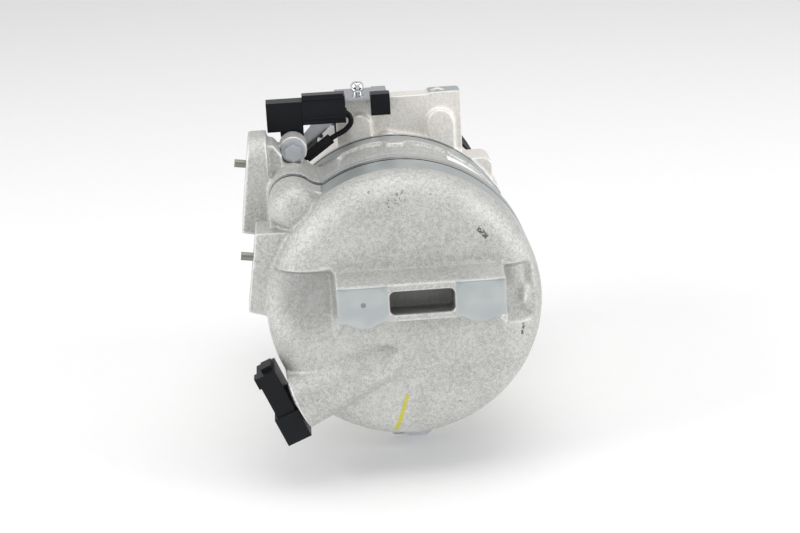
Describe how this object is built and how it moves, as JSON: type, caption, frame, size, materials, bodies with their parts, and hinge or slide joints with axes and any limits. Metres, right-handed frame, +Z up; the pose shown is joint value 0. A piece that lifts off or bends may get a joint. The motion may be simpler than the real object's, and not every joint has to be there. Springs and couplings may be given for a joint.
{
  "type": "automotive air-conditioning compressor",
  "caption": "Belt-driven swash-plate refrigerant compressor with cast aluminium housings, magnetic clutch, side ports, control valve and coil connector.",
  "frame": {"origin": "on the shaft axis in the middle plane of the drive belt", "axes": "+Y along the shaft towards the clutch, +Z up, ports towards -X"},
  "size_m": [0.1357, 0.2163, 0.166],
  "materials": {
    "cast_aluminium": "sand-textured casting",
    "machined_aluminium": "machined",
    "gasket": "coated sheet",
    "plain_steel": "ground",
    "coated_steel": "rubber-coated sheet",
    "spring_steel": "polished",
    "zinc_steel": "zinc plated",
    "dark_steel": "phosphated",
    "paper": "blank label",
    "rubber": "moulded",
    "black_plastic": "moulded",
    "iron": "coated track",
    "painted_steel": "black paint",
    "potting": "cast resin",
    "bright_chrome": "polished",
    "black_sheath": "flexible sheath"
  },
  "bodies": {
    "housing": {"rear_head": "cast_aluminium", "cylinder_block": "cast_aluminium", "front_housing": "cast_aluminium", "rear_gasket": "gasket", "front_gasket": "gasket", "valve_plate": "plain_steel", "suction_reed": "coated_steel", "discharge_reed": "spring_steel", "reed_retainer": "plain_steel", "housing_bolts": "zinc_steel", "relief_valve": "zinc_steel", "oil_plug": "zinc_steel", "port_pins": "dark_steel", "label": "paper", "control_valve_body": "plain_steel", "control_valve_orings": "rubber", "control_valve_spring": "spring_steel", "control_valve_ring": "spring_steel", "control_valve_connector": "black_plastic", "thrust_bearing": "plain_steel", "tilt_spring": "spring_steel", "return_spring": "spring_steel", "shaft_seal": "rubber", "pulley_bearing_inner": "plain_steel", "pulley_snap_ring": "spring_steel", "field_coil": "zinc_steel", "coil_winding": "potting", "connector_bracket": "zinc_steel", "bracket_screw": "bright_chrome", "connector_housing": "black_plastic", "connector_shroud": "black_plastic", "cable_clip": "black_plastic", "coil_lead": "black_sheath", "lead_sleeve": "black_sheath", "shaft_bearings": "plain_steel"},
    "pulley": {"pulley": "painted_steel", "pulley_bearing_outer": "plain_steel"},
    "drive_shaft": {"shaft": "plain_steel", "lug_plate": "plain_steel", "clutch_hub": "plain_steel", "hub_springs": "spring_steel", "hub_rivets": "zinc_steel", "hub_bolt": "zinc_steel"},
    "armature": {"armature_plate": "plain_steel", "armature_rivets": "zinc_steel"},
    "sleeve": {"swash_sleeve": "plain_steel"},
    "swash": {"swash_plate": "iron"},
    "valve_spool": {"control_valve_spool": "spring_steel"},
    "piston_1": {"piston_1": "machined_aluminium"},
    "shoes_1": {"shoes_1": "plain_steel"},
    "piston_2": {"piston_2": "machined_aluminium"},
    "shoes_2": {"shoes_2": "plain_steel"},
    "piston_3": {"piston_3": "machined_aluminium"},
    "shoes_3": {"shoes_3": "plain_steel"},
    "piston_4": {"piston_4": "machined_aluminium"},
    "shoes_4": {"shoes_4": "plain_steel"},
    "piston_5": {"piston_5": "machined_aluminium"},
    "shoes_5": {"shoes_5": "plain_steel"},
    "piston_6": {"piston_6": "machined_aluminium"},
    "shoes_6": {"shoes_6": "plain_steel"}
  },
  "joints": [
    {"name": "pulley_spin", "type": "hinge", "parent": "housing", "child": "pulley", "pos_m": [0, 0, 0], "axis": [0, 1, 0], "continuous": true},
    {"name": "shaft_spin", "type": "hinge", "parent": "housing", "child": "drive_shaft", "pos_m": [0, 0, 0], "axis": [0, 1, 0], "continuous": true},
    {"name": "armature_pull", "type": "slide", "parent": "drive_shaft", "child": "armature", "axis": [0, -1, 0], "range_m": [0, 0.0004], "stiffness_N_per_m": 8000, "deforming": ["hub_springs"]},
    {"name": "swash_tilt", "type": "hinge", "parent": "sleeve", "child": "swash", "pos_m": [0, -0.091, 0], "axis": [1, 0, 0], "range_deg": [0, 20]},
    {"name": "sleeve_slide", "type": "slide", "parent": "housing", "child": "sleeve", "axis": [0, 1, 0], "range_m": [0, 0.0132], "deforming": ["tilt_spring", "return_spring"]},
    {"name": "valve_spool_slide", "type": "slide", "parent": "housing", "child": "valve_spool", "axis": [0.9212, 0, 0.3891], "range_m": [0, 0.0005], "stiffness_N_per_m": 500, "deforming": ["control_valve_spring"]},
    {"name": "piston_1_slide", "type": "slide", "parent": "housing", "child": "piston_1", "axis": [0, 1, 0], "range_m": [0, 0.00194]},
    {"name": "shoes_1_turn", "type": "hinge", "parent": "piston_1", "child": "shoes_1", "pos_m": [0.018, -0.091, 0.03118], "axis": [1, 0, 0], "range_deg": [0, 20.1]},
    {"name": "piston_2_slide", "type": "slide", "parent": "housing", "child": "piston_2", "axis": [0, 1, 0], "range_m": [0, 0.01317]},
    {"name": "shoes_2_turn", "type": "hinge", "parent": "piston_2", "child": "shoes_2", "pos_m": [0.036, -0.091, 0], "axis": [1, 0, 0], "range_deg": [0, 20.1]},
    {"name": "piston_3_slide", "type": "slide", "parent": "housing", "child": "piston_3", "axis": [0, 1, 0], "range_m": [0, 0.0244]},
    {"name": "shoes_3_turn", "type": "hinge", "parent": "piston_3", "child": "shoes_3", "pos_m": [0.018, -0.091, -0.03118], "axis": [1, 0, 0], "range_deg": [0, 20.1]},
    {"name": "piston_4_slide", "type": "slide", "parent": "housing", "child": "piston_4", "axis": [0, 1, 0], "range_m": [0, 0.0244]},
    {"name": "shoes_4_turn", "type": "hinge", "parent": "piston_4", "child": "shoes_4", "pos_m": [-0.018, -0.091, -0.03118], "axis": [1, 0, 0], "range_deg": [0, 20.1]},
    {"name": "piston_5_slide", "type": "slide", "parent": "housing", "child": "piston_5", "axis": [0, 1, 0], "range_m": [0, 0.01317]},
    {"name": "shoes_5_turn", "type": "hinge", "parent": "piston_5", "child": "shoes_5", "pos_m": [-0.036, -0.091, 0], "axis": [1, 0, 0], "range_deg": [0, 20.1]},
    {"name": "piston_6_slide", "type": "slide", "parent": "housing", "child": "piston_6", "axis": [0, 1, 0], "range_m": [0, 0.00194]},
    {"name": "shoes_6_turn", "type": "hinge", "parent": "piston_6", "child": "shoes_6", "pos_m": [-0.018, -0.091, 0.03118], "axis": [1, 0, 0], "range_deg": [0, 20.1]}
  ],
  "couplings": [
    {"joint": "sleeve_slide", "follows": "swash_tilt", "m_per_rad": 0.037152},
    {"joint": "piston_1_slide", "follows": "swash_tilt", "m_per_rad": 0.0049774},
    {"joint": "shoes_1_turn", "follows": "swash_tilt", "ratio": 1},
    {"joint": "piston_2_slide", "follows": "swash_tilt", "m_per_rad": 0.037152},
    {"joint": "shoes_2_turn", "follows": "swash_tilt", "ratio": 1},
    {"joint": "piston_3_slide", "follows": "swash_tilt", "m_per_rad": 0.069327},
    {"joint": "shoes_3_turn", "follows": "swash_tilt", "ratio": 1},
    {"joint": "piston_4_slide", "follows": "swash_tilt", "m_per_rad": 0.069327},
    {"joint": "shoes_4_turn", "follows": "swash_tilt", "ratio": 1},
    {"joint": "piston_5_slide", "follows": "swash_tilt", "m_per_rad": 0.037152},
    {"joint": "shoes_5_turn", "follows": "swash_tilt", "ratio": 1},
    {"joint": "piston_6_slide", "follows": "swash_tilt", "m_per_rad": 0.0049774},
    {"joint": "shoes_6_turn", "follows": "swash_tilt", "ratio": 1}
  ]
}
